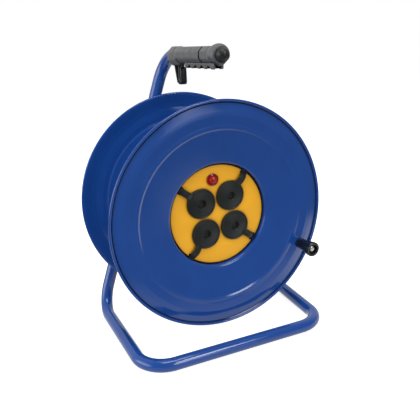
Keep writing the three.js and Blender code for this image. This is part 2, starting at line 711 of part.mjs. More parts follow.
// ---- crank ----
function crank() {
  const place = polar(CRANK_RING_R, CRANK_ANGLE, 0);
  const end = CRANK_BASE_S + CRANK_LENGTH;
  const knob = [
    [3.3, CRANK_BASE_S],
    [CRANK_BASE_R, CRANK_BASE_S],
    [CRANK_BASE_R + 0.4, CRANK_BASE_S + 1.5],
    [CRANK_BASE_R + 0.5, CRANK_BASE_S + 12],
    [CRANK_END_R - 1.2, end - 10],
    [CRANK_END_R, end - 5],
    [CRANK_END_R, end - 1.2],
    [CRANK_END_R - 1.2, end],
    [CRANK_END_R - 2.6, end - 0.4],
    [CRANK_END_R - 3.4, end - 6],
    [3.3, end - 6],
  ];
  const bolt = [
    [0, 66],
    [2.8, 66],
    [2.8, end - 5.7],
    [4.4, end - 5.7],
    [4.4, end - 3.2],
    [3.4, end - 2.2],
    [0, end - 2.2],
  ];
  const seat = CRANK_BASE_S - FIT;
  const washer = [[3.3, seat - 1.4], [7.4, seat - 1.4], [7.4, seat], [3.3, seat]];
  const nut = new THREE.Shape(regular(5.8, 6).getPoints());
  nut.holes.push(new THREE.Path(regular(3.2, 12).getPoints()));
  const nutFront = RIDGE_S - SHEET - FIT;
  return [
    mesh("crank_knob", turned(knob, 20), blackPlastic(), place),
    mesh("crank_bolt", turned(bolt, 16), zinc(), place),
    mesh("crank_washer", turned(washer, 16), zinc(), place),
    mesh("crank_nut", plate(nut, nutFront - 5, nutFront), zinc(), place),
  ];
}

// ---- assembly ----
const drum = new THREE.Group();
drum.position.z = AXIS_Z;
drum.rotation.y = -DRUM_TURN;
drum.add(frontFlange(), rearFlange(), drumCore(), ...gland(), ...hub());
drum.add(socketPanel(), panelHousing(), ...lamp(), terminalBlock(), ...crank());
SOCKET_ANGLES.forEach((angle, i) => {
  drum.add(socketInsert(`socket_insert_${i + 1}`, angle));
  drum.add(earthClip(`earth_clip_${i + 1}`, angle));
  drum.add(socketCover(`socket_cover_${i + 1}`, angle));
});
SCREW_ANGLES.forEach((angle, i) => drum.add(panelScrew(`panel_screw_${i + 1}`, angle)));
drum.add(bus("live_bus", SOCKET_RING_R - CONTACT_OFFSET, 8, SOCKET_RING_R - CONTACT_OFFSET));
drum.add(bus("earth_bus", SOCKET_RING_R, 6));
drum.add(bus("neutral_bus", SOCKET_RING_R + CONTACT_OFFSET, 8, SOCKET_RING_R + CONTACT_OFFSET));

const axle = new THREE.Group();
axle.position.z = AXIS_Z;
axle.add(...spindleParts());

const reel = new THREE.Group();
reel.add(frameTube(), gripRear(), gripFront(), gripCap(), fingerRail(), cableHook(), axle, drum);

// The origin is on the floor, under the middle of the reel's outer box.
const extent = new THREE.Box3().setFromObject(reel);
const middle = extent.getCenter(new THREE.Vector3());
reel.position.set(-middle.x, -middle.y, -extent.min.z);

const group = new THREE.Group();
group.add(reel);
export default group;
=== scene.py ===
"""Looks of an empty extension cord reel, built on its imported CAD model.

Lengths are in millimetres and become metres when a piece is placed. Pieces of the drum are drawn
about its axis: X to the right, Z up, and s, the distance in front of the drum's middle plane,
towards -Y. Pieces of the frame are drawn the same way, with Z counted from the floor.
"""
import json
import math

import bmesh
import bpy
from mathutils import Matrix, Vector

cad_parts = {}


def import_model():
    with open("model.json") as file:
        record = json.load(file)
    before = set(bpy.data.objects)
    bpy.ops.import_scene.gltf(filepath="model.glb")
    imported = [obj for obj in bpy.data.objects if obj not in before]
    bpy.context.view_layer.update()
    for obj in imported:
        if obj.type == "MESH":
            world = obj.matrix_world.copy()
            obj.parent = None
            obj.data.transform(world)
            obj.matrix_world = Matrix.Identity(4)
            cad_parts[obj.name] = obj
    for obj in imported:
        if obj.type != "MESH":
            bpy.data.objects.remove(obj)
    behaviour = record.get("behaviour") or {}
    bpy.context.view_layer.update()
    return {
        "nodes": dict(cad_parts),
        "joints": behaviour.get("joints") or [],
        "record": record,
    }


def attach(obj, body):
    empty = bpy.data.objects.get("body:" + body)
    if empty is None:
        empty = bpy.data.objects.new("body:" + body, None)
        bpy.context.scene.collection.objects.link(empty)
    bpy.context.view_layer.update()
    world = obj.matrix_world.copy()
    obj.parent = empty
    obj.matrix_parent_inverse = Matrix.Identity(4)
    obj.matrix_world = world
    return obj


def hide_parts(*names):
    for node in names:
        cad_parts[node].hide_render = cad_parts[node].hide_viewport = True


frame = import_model()

# ---- places ----
MM = 0.001
JOINTS = {joint["name"]: joint for joint in frame["joints"]}
AXIS = Vector(JOINTS["drum_spin"]["pos_m"])
DRUM = Matrix.Translation(AXIS) @ Matrix.Scale(MM, 4)
FLOOR = Matrix.Translation((0, AXIS.y, 0)) @ Matrix.Scale(MM, 4)

# Names end in _R for a radius, _RING_R for a distance from the drum's axis, _S for a place along s,
# and _X, _Y and _Z for a place on the frame.

# frame: a tube, by the corners where its straight runs would meet
AXIS_Z = 191
TUBE_R = 9.6
BEND_R = 42
REAR_Y = 97
FRONT_Y = -130
LEFT_X = -148.3
FRONT_RIGHT_X = 143
REAR_RIGHT_X = 162
TUBE_END_Y = -86
GRIP_X = -6
GRIP_Z = 419

# spindle
SPINDLE_R = 9.5
THREAD_R = 7.8
HEAD_R = 13
COLLAR_R = 15
THREAD_S = (-3, 14)
SPACER_S = (-84.1, -75.6)

# drum: the flanges' sheet, from the panel's opening out to the rolled rim, and the core
SHEET = 1.6
MOUTH_R = 77.4
LIP_R = 4.5
LIP_S = 60.5
FLAT_S = 70
CONE_FOOT_R = 82
RIB_R = 127
RIB_S = 77
RIB_RISE = 1.5
RIDGE_INNER_R = 146.5
RIDGE_INNER_S = 80.1
RIDGE_OUTER_R = 154
RIDGE_OUTER_S = 79.45
CREASE_R = 165
CREASE_S = 76.9
GROOVE_DEPTH = 0.9
BEAD_R = 1.9
BEAD_S = 78.2
RIM_R = 169.7
CORE_R = 95
CORE_LIP_R = 86
SLEEVE_R = 16
GLAND_ANGLE = math.radians(207)
GLAND_S = -30

# socket panel
PANEL_R = 75
PANEL_S = 62.5
PANEL_BACK_S = 59.5
NOTCH_FOOT_R = 70.4
NOTCH_FOOT_HALF = 6.2
SOCKET_RING_R = 33.6
SOCKET_HOLE_R = 21.5
COVER_R = 22.3
STRAP_WIDTH = 9.8
STRAP_START_R = 53.2
STRAP_END_R = 75.6
STRAP_S = 64.6
STRAP_HUMP = 4.2
STRAP_FALL = 1.4
LAMP_RING_R = 54.3
LAMP_HOLE_R = 6.3
LAMP_R = 9.1
DOME_R = 6.9
PANEL_TURN = math.radians(7)
SOCKET_ANGLES = [PANEL_TURN + math.radians(a) for a in (45, 135, 225, 315)]
LAMP_ANGLE = PANEL_TURN + math.radians(90)

# crank
CRANK_RING_R = 148.5
CRANK_ANGLE = math.radians(-26)
CRANK_BASE_S = 82.4
CRANK_LENGTH = 34
CRANK_END_R = 11.3
CRANK_BASE_R = 7.7


# ---- outlines ----
def arc(centre, radius, start, end, steps):
    """Points round a centre, from one angle to another in degrees."""
    angles = [math.radians(start + (end - start) * i / steps) for i in range(steps + 1)]
    return [(centre[0] + radius * math.cos(a), centre[1] + radius * math.sin(a)) for a in angles]


def rounded(points, closed=False, step=12):
    """An outline whose corners become arcs where a point carries a radius as its third number.

    A step is the most degrees that an arc turns from one of its points to the next.
    """
    result = []
    count = len(points)
    for i, point in enumerate(points):
        here = Vector(point[:2])
        at_end = not closed and i in (0, count - 1)
        if len(point) < 3 or at_end:
            result.append(tuple(here))
            continue
        before = Vector(points[i - 1][:2]) - here
        after = Vector(points[(i + 1) % count][:2]) - here
        half = before.angle(after) / 2
        reach = min(point[2] / math.tan(half), 0.48 * before.length, 0.48 * after.length)
        radius = reach * math.tan(half)
        middle = here + (before.normalized() + after.normalized()).normalized() * (
            radius / math.sin(half))
        start = here + before.normalized() * reach - middle
        turn = start.angle_signed(here + after.normalized() * reach - middle)
        steps = max(2, math.ceil(abs(math.degrees(turn)) / step))
        for k in range(steps + 1):
            result.append(tuple(middle + Matrix.Rotation(-turn * k / steps, 2) @ start))
    return result


def circle(radius, sides, turn=0.0):
    angles = [turn + 2 * math.pi * i / sides for i in range(sides)]
    return [(radius * math.cos(a), radius * math.sin(a)) for a in angles]


def polar(radius, angle):
    return Vector((math.cos(angle), math.sin(angle))) * radius


# ---- solids ----
def loft(loops, ring=False, capped=False):
    """A skin over loops, where one point is a pole and ring joins the last loop to the first."""
    bm = bmesh.new()
    rows = [[bm.verts.new(point) for point in loop] for loop in loops]
    pairs = list(zip(rows, rows[1:])) + ([(rows[-1], rows[0])] if ring else [])
    sides = max(len(row) for row in rows)
    for low, high in pairs:
        for i in range(sides):
            j = (i + 1) % sides
            corners = [row[k % len(row)] for row, k in ((low, i), (low, j), (high, j), (high, i))]
            unique = list(dict.fromkeys(corners))
            if len(unique) > 2:
                bm.faces.new(unique)
    if capped:
        for row in (rows[0], rows[-1]):
            if len(row) > 2:
                bm.faces.new(row)
    return bm


def turned(profile, sides=96, turn=0.0):
    """A piece turned about Y. The profile is (radius, s) points, from axis to axis or closed."""
    loops = []
    for r, s in profile:
        ring = circle(r, sides, turn) if r > 1e-6 else [(0, 0)]
        loops.append([(x, -s, z) for x, z in ring])
    return loft(loops, ring=profile[0][0] > 1e-6)


def along_y(outline, stations):
    """An outline in X and Z, carried through (s, scale) stations and capped."""
    loops = [[(x * scale, -s, z * scale) for x, z in outline] for s, scale in stations]
    return loft(loops, capped=True)


def across(outline, low, high):
    """An outline of (s, Z) points, made solid from a low to a high X."""
    return loft([[(x, -s, z) for s, z in outline] for x in (low, high)], capped=True)


def bent_path(corners, radius, steps=16):
    """Points of straight runs joined by round bends."""
    points = [Vector(corners[0])]
    for before, corner, after in zip(corners, corners[1:], corners[2:]):
        incoming = (Vector(corner) - Vector(before)).normalized()
        outgoing = (Vector(after) - Vector(corner)).normalized()
        angle = incoming.angle(outgoing)
        axis = incoming.cross(outgoing).normalized()
        arm = axis.cross(incoming) * -radius
        start = Vector(corner) - incoming * radius * math.tan(angle / 2)
        for k in range(steps + 1):
            turned_arm = Matrix.Rotation(angle * k / steps, 3, axis) @ arm
            points.append(start - arm + turned_arm)
    points.append(Vector(corners[-1]))
    return points


def pipe(points, radius, sides=40):
    """A round bar along a path."""
    runs = [(b - a).normalized() for a, b in zip(points, points[1:])]
    between = [(a + b).normalized() for a, b in zip(runs, runs[1:])]
    tangents = [runs[0]] + between + [runs[-1]]
    side = tangents[0].orthogonal().normalized()
    loops = []
    for i, (point, tangent) in enumerate(zip(points, tangents)):
        if i:
            side = tangents[i - 1].rotation_difference(tangent) @ side
        other = tangent.cross(side)
        loops.append([point + side * x + other * y for x, y in circle(radius, sides)])
    return loft(loops, capped=True)


def merged(*parts):
    whole = bmesh.new()
    for part in parts:
        mesh = bpy.data.meshes.new("part")
        part.to_mesh(mesh)
        part.free()
        whole.from_mesh(mesh)
        bpy.data.meshes.remove(mesh)
    return whole


def moved(bm, x=0.0, z=0.0):
    bmesh.ops.translate(bm, verts=bm.verts, vec=(x, 0, z))
    return bm


def softened(bm, width, segments=2, above=35):
    """Bevels every edge that is sharper than the given angle."""
    bmesh.ops.recalc_face_normals(bm, faces=bm.faces)
    limit = math.radians(above)
    edges = [e for e in bm.edges if e.is_manifold and e.calc_face_angle() > limit]
    bmesh.ops.bevel(bm, geom=edges, offset=width, segments=segments, profile=0.5,
                    affect="EDGES", clamp_overlap=True)
    return bm


def piece(name, bm, place, material, body, stands_for=(), sharp=40):
    """Places a piece in the scene, on a body, for the CAD nodes that it stands for.

    Edges that turn by more than sharp, in degrees, are not smoothed.
    """
    bmesh.ops.recalc_face_normals(bm, faces=bm.faces)
    bm.transform(place)
    mesh = bpy.data.meshes.new(name)
    bm.to_mesh(mesh)
    bm.free()
    mesh.shade_smooth()
    mesh.set_sharp_from_angle(angle=math.radians(sharp))
    mesh.materials.append(material)
    thing = bpy.data.objects.new(name, mesh)
    bpy.context.scene.collection.objects.link(thing)
    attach(thing, body)
    if stands_for:
        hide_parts(*stands_for)
    return thing


def on_drum(radius, angle):
    """A place on the drum whose X axis points away from the drum's axis."""
    return DRUM @ Matrix.Rotation(-angle, 4, "Y") @ Matrix.Translation((radius, 0, 0))


# ---- materials ----
# Most of a noise lies between these values.
NOISE_SPAN = (0.3, 0.7)
COLOR_SPAN = (0.32, 0.68)


def add_node(tree, kind, inputs=(), **settings):
    """A shader node with its settings, and with each input linked to a socket or set to a value."""
    made = tree.nodes.new("ShaderNode" + kind)
    for key, value in settings.items():
        setattr(made, key, value)
    for key, value in dict(inputs).items():
        if isinstance(value, bpy.types.NodeSocket):
            tree.links.new(value, made.inputs[key])
        else:
            made.inputs[key].default_value = value
    return made


def ramp(tree, value, reach, levels, **settings):
    """Maps a reach of values to a pair of levels, and holds the levels beyond it."""
    inputs = {"Value": value, "From Min": reach[0], "From Max": reach[1],
              "To Min": levels[0], "To Max": levels[1]}
    return add_node(tree, "MapRange", inputs, **settings).outputs["Result"]


class Finish:
    """A material under construction: a Principled shader and the nodes that feed it."""

    def __init__(self, name, slot, color, roughness, **sockets):
        self.material = bpy.data.materials.new(name)
        self.material.use_nodes = True
        self.material["slot"] = slot
        self.tree = self.material.node_tree
        self.shader = self.tree.nodes["Principled BSDF"]
        self.shader.inputs["Base Color"].default_value = (*color, 1)
        self.shader.inputs["Roughness"].default_value = roughness
        for socket, value in sockets.items():
            self.shader.inputs[socket.replace("_", " ")].default_value = value
        self.place = self.node("TexCoord").outputs["Object"]

    def node(self, kind, inputs=(), **settings):
        return add_node(self.tree, kind, inputs, **settings)

    def feed(self, socket, value):
        self.tree.links.new(value, self.shader.inputs[socket])

    def noise(self, scale, detail, stretch=(1, 1, 1)):
        place = self.node("VectorMath", {0: self.place, 1: stretch}, operation="MULTIPLY").outputs[0]
        inputs = {"Vector": place, "Scale": scale, "Detail": detail}
        return self.node("TexNoise", inputs).outputs["Fac"]

    def vary_roughness(self, scale, low, high):
        self.feed("Roughness", ramp(self.tree, self.noise(scale, 3), NOISE_SPAN, (low, high)))

    def vary_color(self, scale, darker, lighter, stretch=(1, 1, 1)):
        blend = self.node("ValToRGB", {"Fac": self.noise(scale, 3, stretch)})
        for end, position, color in zip(blend.color_ramp.elements, COLOR_SPAN, (darker, lighter)):
            end.position = position
            end.color = (*color, 1)
        self.feed("Base Color", blend.outputs["Color"])
        return blend.outputs["Color"]

    def paint_corner_shade(self, color, reach, depth):
        """Painted shade: the colour gets darker in notches, seams and corners narrower than a reach,
        where shade falls.
        """
        openness = self.node("AmbientOcclusion", {"Distance": reach}, samples=8).outputs["AO"]
        amount = ramp(self.tree, openness, (0.3, 0.9), (depth, 0))
        mix = self.node("Mix", {"Factor": amount}, data_type="RGBA")
        self.tree.links.new(color, mix.inputs["A"])
        mix.inputs["B"].default_value = (0, 0, 0, 1)
        self.feed("Base Color", mix.outputs["Result"])

    def bump(self, *layers):
        """Bumps from (height, depth in metres) layers."""
        normal = None
        for height, depth in layers:
            inputs = {"Height": height, "Distance": depth, "Strength": 1.0}
            if normal:
                inputs["Normal"] = normal
            normal = self.node("Bump", inputs).outputs["Normal"]
        self.feed("Normal", normal)


def blue_paint():
    finish = Finish("blue_paint", "blue_paint", (0.009, 0.054, 0.245), 0.1, Specular_IOR_Level=0.5)
    color = finish.vary_color(14, (0.008, 0.051, 0.236), (0.010, 0.057, 0.254))
    # Painted shade: the paint darkens in the flanges' groove, round the panel's lip and wherever parts
    # meet closely.
    finish.paint_corner_shade(color, 0.0035, 0.9)
    finish.vary_roughness(30, 0.07, 0.12)
    finish.bump((finish.noise(420, 2), 0.000012), (finish.noise(45, 1), 0.00008))
    return finish.material


def yellow_plastic():
    finish = Finish("yellow_plastic", "yellow_plastic", (0.88, 0.42, 0.018), 0.42,
                    Specular_IOR_Level=0.3)
    color = finish.vary_color(25, (0.86, 0.41, 0.016), (0.90, 0.43, 0.020))
    # Painted shade: a dark line along the panel's edge by the lip, and shadows round the straps, covers
    # and lamp.
    finish.paint_corner_shade(color, 0.007, 0.9)
    finish.vary_roughness(50, 0.36, 0.5)
    finish.bump((finish.noise(1500, 3), 0.00003))
    return finish.material


def black_rubber():
    finish = Finish("black_rubber", "black_rubber", (0.006, 0.0065, 0.006), 0.4,
                    Specular_IOR_Level=0.4)
    color = finish.vary_color(60, (0.006, 0.007, 0.0065), (0.009, 0.0105, 0.0095))
    # Painted shade: the covers darken in their dimples and grooves, and where the straps meet the caps.
    finish.paint_corner_shade(color, 0.006, 0.85)
    finish.vary_roughness(120, 0.36, 0.5)
    finish.bump((finish.noise(1800, 4), 0.00004))
    return finish.material


def black_plastic():
    finish = Finish("black_plastic", "black_plastic", (0.005, 0.005, 0.005), 0.25)
    finish.vary_color(80, (0.004, 0.004, 0.004), (0.007, 0.007, 0.007))
    finish.vary_roughness(90, 0.2, 0.34)
    finish.bump((finish.noise(1400, 3), 0.00002))
    return finish.material


def painted_shade_black():
    """Painted shade: a near-black, nearly unreflecting finish for the insides that show in the grip's
    seam and notches.
    """
    finish = Finish("painted_shade_black", "black_plastic", (0.003, 0.003, 0.003), 0.9,
                    Specular_IOR_Level=0.05)
    finish.vary_color(80, (0.002, 0.002, 0.002), (0.004, 0.004, 0.004))
    finish.vary_roughness(90, 0.85, 0.95)
    finish.bump((finish.noise(1400, 3), 0.00002))
    return finish.material


def ball_plastic():
    finish = Finish("ball_plastic", "black_plastic", (0.012, 0.013, 0.0125), 0.42,
                    Specular_IOR_Level=0.35)
    finish.vary_color(80, (0.010, 0.011, 0.0105), (0.015, 0.016, 0.0155))
    finish.vary_roughness(90, 0.38, 0.5)
    finish.bump((finish.noise(1400, 3), 0.00002))
    return finish.material


def grip_plastic():
    finish = Finish("grip_plastic", "grip_plastic", (0.085, 0.088, 0.087), 0.45)
    color = finish.vary_color(60, (0.062, 0.062, 0.062), (0.118, 0.117, 0.117), stretch=(1, 4, 1))
    # Painted shade: the grip darkens in the rail's notches, at the seam and in its corners.
    finish.paint_corner_shade(color, 0.007, 0.95)
    finish.vary_roughness(150, 0.45, 0.6)
    finish.bump((finish.noise(2200, 4), 0.00006))
    return finish.material


def zinc():
    finish = Finish("zinc", "zinc", (0.42, 0.43, 0.44), 0.3, Metallic=1.0)
    finish.vary_color(200, (0.34, 0.35, 0.36), (0.5, 0.51, 0.52))
    finish.vary_roughness(300, 0.22, 0.4)
    finish.bump((finish.noise(900, 3), 0.00002))
    return finish.material


def brass():
    finish = Finish("brass", "brass", (0.6, 0.42, 0.13), 0.3, Metallic=1.0)
    finish.vary_color(150, (0.5, 0.34, 0.1), (0.66, 0.47, 0.17))
    finish.vary_roughness(200, 0.22, 0.4)
    finish.bump((finish.noise(900, 3), 0.00002))
    return finish.material


def white_nylon():
    finish = Finish("white_nylon", "white_nylon", (0.7, 0.68, 0.6), 0.45, Subsurface_Weight=0.1)
    finish.vary_color(90, (0.66, 0.64, 0.56), (0.73, 0.71, 0.63))
    finish.vary_roughness(90, 0.4, 0.55)
    finish.bump((finish.noise(1200, 3), 0.00002))
    return finish.material


def red_lens():
    finish = Finish("red_lens", "red_lens", (0.28, 0.004, 0.003), 0.06, Specular_IOR_Level=0.5)
    color = finish.vary_color(180, (0.24, 0.003, 0.002), (0.32, 0.005, 0.004))
    # Painted shade: the lens darkens where the dome meets its collar, giving a dark ring.
    finish.paint_corner_shade(color, 0.003, 0.8)
    finish.vary_roughness(200, 0.04, 0.1)
    finish.bump((finish.noise(700, 1), 0.00002))
    return finish.material


PAINT = blue_paint()
YELLOW = yellow_plastic()
RUBBER = black_rubber()
BLACK = black_plastic()
SHADE_BLACK = painted_shade_black()
BALL = ball_plastic()
GRIP = grip_plastic()
ZINC = zinc()
BRASS = brass()
NYLON = white_nylon()
RED = red_lens()
CAD_FINISHES = {finish["slot"]: finish for finish in (
    PAINT, YELLOW, RUBBER, BLACK, GRIP, ZINC, BRASS, NYLON, RED)}


def finish_cad_nodes():
    """Every node that keeps its CAD shape gets its slot's material."""
    for part in frame["record"]["subparts"]:
        node = frame["nodes"][part["node"]]
        node.data.materials.clear()
        node.data.materials.append(CAD_FINISHES[part["material_slot"]])


# ---- frame ----
def frame_tube():
    """The tube from the grip down the upright, round the floor loop and up the leg to the upright."""
    rise = AXIS_Z - TUBE_R
    leg_slope = -REAR_RIGHT_X / rise
    upright_slope = (GRIP_X - LEFT_X) / (GRIP_Z - TUBE_R)
    leg_rise = (REAR_RIGHT_X - LEFT_X) / (upright_slope - leg_slope)
    leg_end = (REAR_RIGHT_X + leg_slope * leg_rise, REAR_Y, TUBE_R + leg_rise)
    corners = [
        (GRIP_X, TUBE_END_Y, GRIP_Z),
        (GRIP_X, REAR_Y, GRIP_Z),
        (LEFT_X, REAR_Y, TUBE_R),
        (LEFT_X, FRONT_Y, TUBE_R),
        (FRONT_RIGHT_X, FRONT_Y, TUBE_R),
        (REAR_RIGHT_X, REAR_Y, TUBE_R),
        leg_end,
    ]
    tube = pipe(bent_path(corners, BEND_R), TUBE_R)
    piece("bent_tube", tube, FLOOR, PAINT, "frame", ["frame_tube"], sharp=60)


# Pieces of the grip are drawn about its axis.
GRIP_PLACE = FLOOR @ Matrix.Translation((GRIP_X, 0, GRIP_Z))
BODY_WIDTH = 23.6
BODY_HEIGHT = 22.8
BODY_BOTTOM = -BODY_HEIGHT / 2
BODY_REAR_S = -44
BODY_FRONT_S = 88
COLLAR_DROP = -1.9
BALL_R = 9.6
BALL_S = 107.4
BULGE_FLAT = 11
CHAMFER = 6.5
SEAM_S = 58
SEAM_WIDTH = 3.4
SLEEVE_REACH = 3
SLEEVE_SCALE = 0.97
RAIL_BOTTOM = BODY_BOTTOM - 6.9
RAIL_HALF = 7.5
RAIL_REAR_S = -1
RAIL_FRONT_S = 95
CHEEK_WIDTH = 3
NOTCH_COUNT = 4
NOTCH_START_S = 6.2
NOTCH_PITCH = 21.2
NOTCH_WIDTH = 17.2
NOTCH_PEAK = 8.4
NOTCH_DEPTH = 5.3
HOOK_REAR_S = -38.4
HOOK_FRONT_S = -23.5
HOOK_WIDTH = 9.2


def grip_body(low, high):
    """A length of the grip: an eight-sided bar with round corners and round ends."""
    x, z = BODY_WIDTH / 2, BODY_HEIGHT / 2
    corner = [(x, z - CHAMFER, 4), (x - CHAMFER, z, 4)]
    half = corner + [(-a, b, r) for a, b, r in reversed(corner)]
    outline = rounded(half + [(-a, -b, r) for a, b, r in half], closed=True)
    ends = [(0, 0.93), (0.5, 0.985), (1, 1)]
    stations = [(low + depth, scale) for depth, scale in ends]
    return along_y(outline, stations + [(high - depth, scale) for depth, scale in reversed(ends)])


def end_bulge():
    """The round end of the grip, with a flat cut along each of its lower sides."""
    bulge = turned(rounded([
        (0, 82), (11.8, 82), (12.6, 88, 12), (14, 93, 12), (14.6, 97.3, 10), (14.1, 101.2, 8),
        (12.4, 104.2, 3), (10.6, 105.2, 1), (0, 105.2)], step=6), 64)
    for way in (-1, 1):
        facing = Vector((way, 0, -1)).normalized()
        skin = [*bulge.verts, *bulge.edges, *bulge.faces]
        made = bmesh.ops.bisect_plane(bulge, geom=skin, plane_co=facing * BULGE_FLAT, plane_no=facing,
                                      clear_outer=True)
        cut = [part for part in made["geom_cut"] if isinstance(part, bmesh.types.BMEdge)]
        bmesh.ops.holes_fill(bulge, edges=cut)
    return bulge


def grips():
    """Two lengths of the grip with a seam between them, a ball at the end, and a sleeve in the seam that
    paints the seam's shade near-black.
    """
    profile = [(0, -55), (13.8, -55), (15.4, -51.5), (15.4, -38), (12.8, -26), (0, -26)]
    collar = moved(turned(profile, 8, math.pi / 8), z=COLLAR_DROP)
    rear = merged(grip_body(BODY_REAR_S, SEAM_S - SEAM_WIDTH / 2), softened(collar, 1.2, 3))
    piece("grip_rear_length", rear, GRIP_PLACE, GRIP, "frame", ["grip_rear"])
    front = merged(grip_body(SEAM_S + SEAM_WIDTH / 2, BODY_FRONT_S), end_bulge())
    piece("grip_front_length", front, GRIP_PLACE, GRIP, "frame", ["grip_front"])
    ball = [(0, BALL_S - BALL_R)] + arc((0, BALL_S), BALL_R, -80, 80, 24) + [(0, BALL_S + BALL_R)]
    piece("grip_ball", turned(ball, 64), GRIP_PLACE, BALL, "frame", ["grip_cap"])
    sleeve = grip_body(SEAM_S - SLEEVE_REACH, SEAM_S + SLEEVE_REACH)
    bmesh.ops.scale(sleeve, vec=(SLEEVE_SCALE, 1, SLEEVE_SCALE), verts=sleeve.verts)
    # The sleeve is painted shade: near-black and nearly unreflecting, it fills the seam.
    piece("seam_shade_sleeve", sleeve, GRIP_PLACE, SHADE_BLACK, "frame")


def finger_rail():
    """A rail under the grip: two notched cheeks on a core, painted near-black as the shade that shows in
    the notches.
    """
    top = BODY_BOTTOM + 1
    bottom = RAIL_BOTTOM
    rear, front = RAIL_REAR_S, RAIL_FRONT_S
    outline = [(rear, top), (rear, bottom + 1.6), (rear + 1.6, bottom)]
    for i in range(NOTCH_COUNT):
        start = NOTCH_START_S + i * NOTCH_PITCH
        outline += [(start, bottom), (start + NOTCH_PEAK, bottom + NOTCH_DEPTH, 0.8),
                    (start + NOTCH_WIDTH, bottom)]
    outline += [(front - 5, bottom - 0.2), (front - 1.6, bottom - 0.2, 1), (front, bottom + 1.4),
                (front, top)]
    outline = rounded(outline, closed=True)
    cheeks = [softened(across(outline, low, low + CHEEK_WIDTH), 0.4)
              for low in (-RAIL_HALF, RAIL_HALF - CHEEK_WIDTH)]
    inside = [(rear + 1, top), (rear + 2, bottom + 0.3), (front - 1, bottom + 1), (front - 1, top)]
    core = across(inside, 0.3 - RAIL_HALF, RAIL_HALF - 0.3)
    piece("notched_rail", merged(*cheeks), GRIP_PLACE, GRIP, "frame", ["finger_rail"])
    # The core is painted shade: near-black and nearly unreflecting, it shows in the notches.
    piece("rail_shade_core", core, GRIP_PLACE, SHADE_BLACK, "frame")


def cable_hook():
    """A leg at the rear and a short one in front, open between them, on a gusset under the grip."""
    top = BODY_BOTTOM + 2
    tip = BODY_BOTTOM - 32
    low = BODY_BOTTOM - 6.5
    rear, front = HOOK_REAR_S, HOOK_FRONT_S
    outline = rounded([
        (rear, top), (rear, tip + 3), (rear + 3, tip, 1), (front - 3, tip, 1), (front, tip + 3, 1),
        (front, low - 2.5, 1), (front - 2.5, low, 1), (front - 6, low, 0.8), (front - 6, tip + 9, 0.8),
        (front - 8.4, tip + 9, 0.8), (front - 8.4, top)], closed=True)
    half = HOOK_WIDTH / 2
    legs = across(outline, -half, half)
    gusset = [(-9, top), (-half, tip + 2), (half, tip + 2), (9, top)]
    web = along_y(gusset, [(rear - 2.6, 1), (rear + 0.4, 1)])
    hook = merged(softened(legs, 0.6), softened(web, 0.6))
    piece("two_leg_hook", hook, GRIP_PLACE, BLACK, "frame", ["cable_hook"])


def spindle():
    """A headed spindle through the leg, with a collar in front of the leg, and a spacer on it."""
    head = -REAR_Y - 13.45
    leg_back = -REAR_Y - TUBE_R - 0.7
    leg_front = -REAR_Y + TUBE_R + 0.3
    collar_front = leg_front + 2.7
    thread, tip = THREAD_S
    profile = rounded([
        (0, head), (HEAD_R, head, 1.5), (HEAD_R, leg_back, 0.4), (SPINDLE_R, leg_back),
        (SPINDLE_R, leg_front), (COLLAR_R, leg_front, 0.5), (COLLAR_R, collar_front, 0.5),
        (SPINDLE_R, collar_front), (SPINDLE_R, thread, 0.5), (THREAD_R, thread + 1),
        (THREAD_R, tip - 1, 0.8), (0, tip)])
    piece("turned_spindle", turned(profile, 64), DRUM, ZINC, "frame", ["spindle"])
    back, front = SPACER_S
    bore = SPINDLE_R + 0.4
    ring = [(bore, back, 0.4), (COLLAR_R, back, 0.6), (COLLAR_R, front, 0.6), (bore, front, 0.4)]
    spacer = turned(rounded(ring, closed=True), 64)
    piece("turned_spacer", spacer, DRUM, NYLON, "frame", ["spacer_ring"])


# ---- drum ----
def cone_s(r):
    """How far the flanges' cone stands from the drum's middle plane."""
    return FLAT_S + (r - CONE_FOOT_R) * (RIB_S - FLAT_S) / (RIB_R - CONE_FOOT_R)


def flange(inner_front, inner_back, bead_s):
    """A shallow cone, a low rib, a flat ridge, a shoulder down to a crease, and a rolled bead."""
    rib_top = RIB_S + RIB_RISE
    rib = [(RIB_R - 1.2, RIB_S, 1), (RIB_R + 1.4, rib_top, 1.5), (RIB_R + 5.8, rib_top + 0.2, 1),
           (RIB_R + 7.8, rib_top, 1)]
    relief = rib + [(RIDGE_INNER_R, RIDGE_INNER_S, 3), (RIDGE_OUTER_R, RIDGE_OUTER_S, 3)]
    groove = [(CREASE_R - 0.9, CREASE_S + 0.2), (CREASE_R + 0.3, CREASE_S - GROOVE_DEPTH)]
    front = inner_front + relief + groove
    back = [(r, s - SHEET, *fillet) for r, s, *fillet in relief + [(CREASE_R, CREASE_S, 0.3)]]
    bead = arc((RIM_R - BEAD_R, bead_s), BEAD_R, 230, -110, 24)
    return rounded(front + bead + back[::-1] + inner_back, closed=True, step=8)


